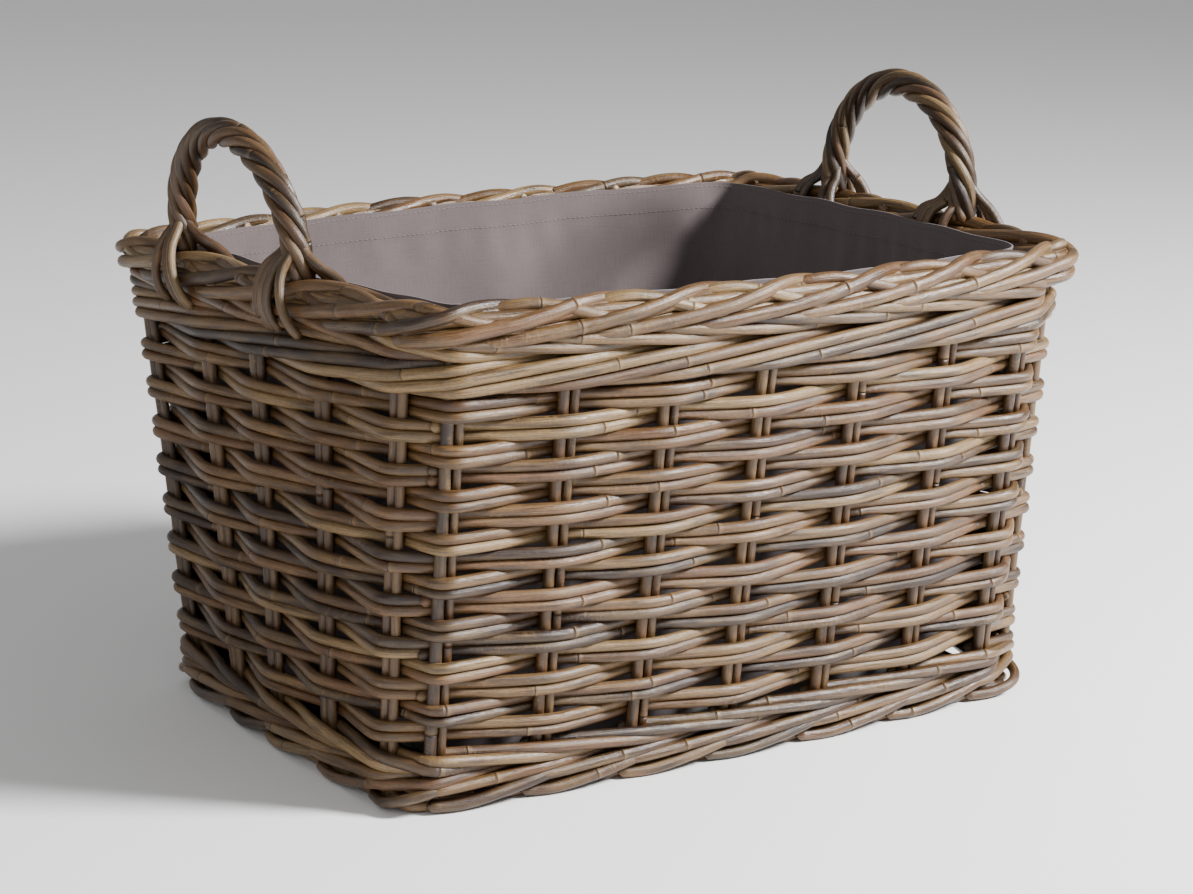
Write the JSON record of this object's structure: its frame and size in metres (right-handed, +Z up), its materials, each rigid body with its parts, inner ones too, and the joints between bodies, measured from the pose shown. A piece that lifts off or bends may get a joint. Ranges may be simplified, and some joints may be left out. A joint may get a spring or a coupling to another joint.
{
  "type": "log basket",
  "caption": "Rectangular woven rattan log basket with bowed flared sides, rolled rim, twisted rod handles on the short sides and a lift-out cotton lining.",
  "frame": {"origin": "below the middle of the whole basket, on the floor", "axes": "+X along the long side towards the right-hand handle, +Y towards the back long side, +Z up"},
  "size_m": [0.5915, 0.4855, 0.4499],
  "materials": {
    "stake_rattan": "satin greyed rattan",
    "weave_rattan": "satin greyed rattan, grey to brown from rod to rod",
    "waling_rattan": "satin greyed rattan",
    "border_rattan": "satin greyed rattan",
    "base_rattan": "matte greyed rattan",
    "handle_rattan": "satin greyed rattan",
    "lining_cotton": "matte grey-mauve plain-weave cotton"
  },
  "bodies": {
    "basket": {"stake_01": "stake_rattan", "stake_02": "stake_rattan", "stake_03": "stake_rattan", "stake_04": "stake_rattan", "stake_05": "stake_rattan", "stake_06": "stake_rattan", "stake_07": "stake_rattan", "stake_08": "stake_rattan", "stake_09": "stake_rattan", "stake_10": "stake_rattan", "stake_11": "stake_rattan", "stake_12": "stake_rattan", "stake_13": "stake_rattan", "stake_14": "stake_rattan", "stake_15": "stake_rattan", "stake_16": "stake_rattan", "stake_17": "stake_rattan", "stake_18": "stake_rattan", "stake_19": "stake_rattan", "stake_20": "stake_rattan", "stake_21": "stake_rattan", "stake_22": "stake_rattan", "stake_23": "stake_rattan", "stake_24": "stake_rattan", "weave_course_01": "weave_rattan", "weave_course_02": "weave_rattan", "weave_course_03": "weave_rattan", "weave_course_04": "weave_rattan", "weave_course_05": "weave_rattan", "weave_course_06": "weave_rattan", "weave_course_07": "weave_rattan", "weave_course_08": "weave_rattan", "weave_course_09": "weave_rattan", "weave_course_10": "weave_rattan", "weave_course_11": "weave_rattan", "weave_course_12": "weave_rattan", "weave_course_13": "weave_rattan", "weave_course_14": "weave_rattan", "weave_course_15": "weave_rattan", "weave_course_16": "weave_rattan", "upper_waling_1": "waling_rattan", "upper_waling_2": "waling_rattan", "upper_waling_3": "waling_rattan", "lower_waling_1": "waling_rattan", "lower_waling_2": "waling_rattan", "rim_border": "border_rattan", "foot_border": "border_rattan", "base_stick_1": "base_rattan", "base_stick_2": "base_rattan", "base_stick_3": "base_rattan", "base_stick_4": "base_rattan", "base_stick_5": "base_rattan", "base_stick_6": "base_rattan", "base_stick_7": "base_rattan", "base_weave": "base_rattan", "handle_left": "handle_rattan", "handle_right": "handle_rattan"},
    "lining": {"lining": "lining_cotton"}
  },
  "joints": [
    {"name": "lining_lift", "type": "slide", "parent": "basket", "child": "lining", "axis": [0, 0, 1], "range_m": [0, 0.45]}
  ]
}
